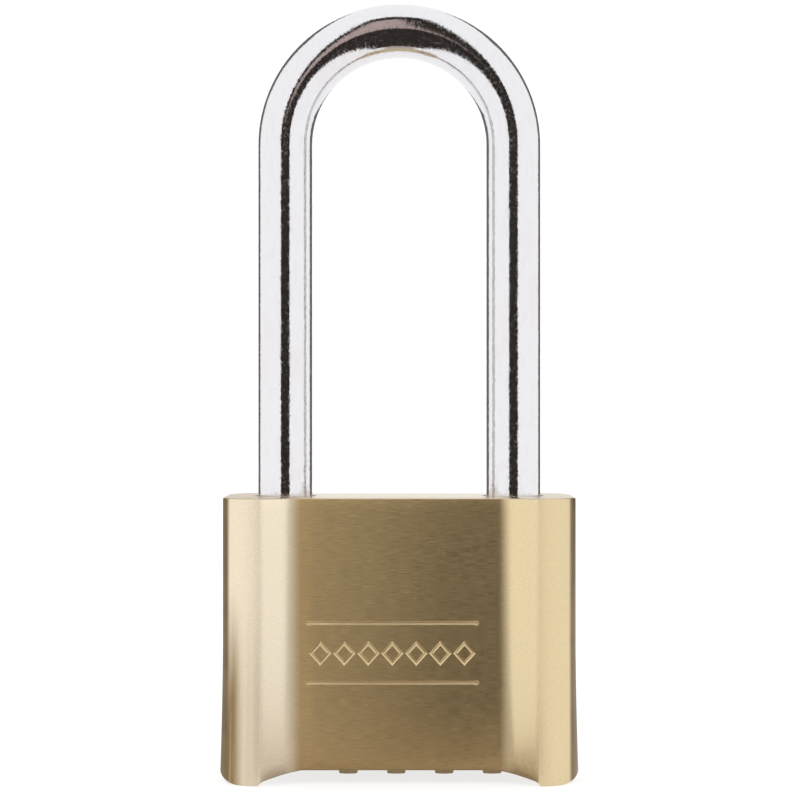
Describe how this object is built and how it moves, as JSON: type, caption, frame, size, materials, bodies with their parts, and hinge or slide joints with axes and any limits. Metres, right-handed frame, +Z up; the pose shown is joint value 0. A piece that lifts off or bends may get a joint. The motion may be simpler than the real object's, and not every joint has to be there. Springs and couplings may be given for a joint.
{
  "type": "combination padlock",
  "caption": "Solid brass padlock with a tall round steel shackle, number dials in its underside and the lockwork that a set code frees.",
  "frame": {"origin": "middle of the block at the level of its two feet, which it stands on", "axes": "+Z up along the shackle's legs, -Y out of the front recess, +X towards the short toe leg"},
  "size_m": [0.0514, 0.0272, 0.1126],
  "materials": {
    "brass": "brushed and satin, lacquered",
    "dial_brass": "turned, digits filled black",
    "chrome": "polished plate over steel",
    "steel": "plain machined",
    "spring_steel": "drawn wire and strip"
  },
  "bodies": {
    "case": {"body": "brass", "wheel_frame": "brass", "spindle": "steel", "spindle_clip": "spring_steel", "end_washer": "steel", "wave_washer": "spring_steel", "detent_spring": "spring_steel", "retaining_screw": "steel", "heel_pin": "steel", "lever_pin": "steel", "lever_spring": "spring_steel", "shackle_spring": "spring_steel"},
    "shackle": {"shackle": "chrome"},
    "lever": {"locking_lever": "steel"},
    "comb": {"comb_bar": "steel"},
    "wheel_1": {"dial_1": "dial_brass", "hub_1": "steel"},
    "wheel_2": {"dial_2": "dial_brass", "hub_2": "steel"},
    "wheel_3": {"dial_3": "dial_brass", "hub_3": "steel"},
    "wheel_4": {"dial_4": "dial_brass", "hub_4": "steel"}
  },
  "joints": [
    {"name": "shackle_lift", "type": "slide", "parent": "case", "child": "shackle", "axis": [0, 0, 1], "range_m": [0, 0.0115], "deforming": ["shackle_spring"]},
    {"name": "lever_turn", "type": "hinge", "parent": "case", "child": "lever", "pos_m": [0.0102, 0, 0.0246], "axis": [0, -1, 0], "range_deg": [0, 22.89], "deforming": ["lever_spring"]},
    {"name": "comb_slide", "type": "slide", "parent": "case", "child": "comb", "axis": [1, 0, 0], "range_m": [0, 0.0025]},
    {"name": "dial_1_turn", "type": "hinge", "parent": "case", "child": "wheel_1", "pos_m": [-0.00745, 0, 0.0074], "axis": [1, 0, 0], "continuous": true},
    {"name": "dial_2_turn", "type": "hinge", "parent": "case", "child": "wheel_2", "pos_m": [-0.00045, 0, 0.0074], "axis": [1, 0, 0], "continuous": true},
    {"name": "dial_3_turn", "type": "hinge", "parent": "case", "child": "wheel_3", "pos_m": [0.00655, 0, 0.0074], "axis": [1, 0, 0], "continuous": true},
    {"name": "dial_4_turn", "type": "hinge", "parent": "case", "child": "wheel_4", "pos_m": [0.01355, 0, 0.0074], "axis": [1, 0, 0], "continuous": true}
  ],
  "couplings": [
    {"joint": "lever_turn", "follows": "shackle_lift", "rad_per_m": 34.738},
    {"joint": "comb_slide", "follows": "shackle_lift", "ratio": 0.21739}
  ]
}
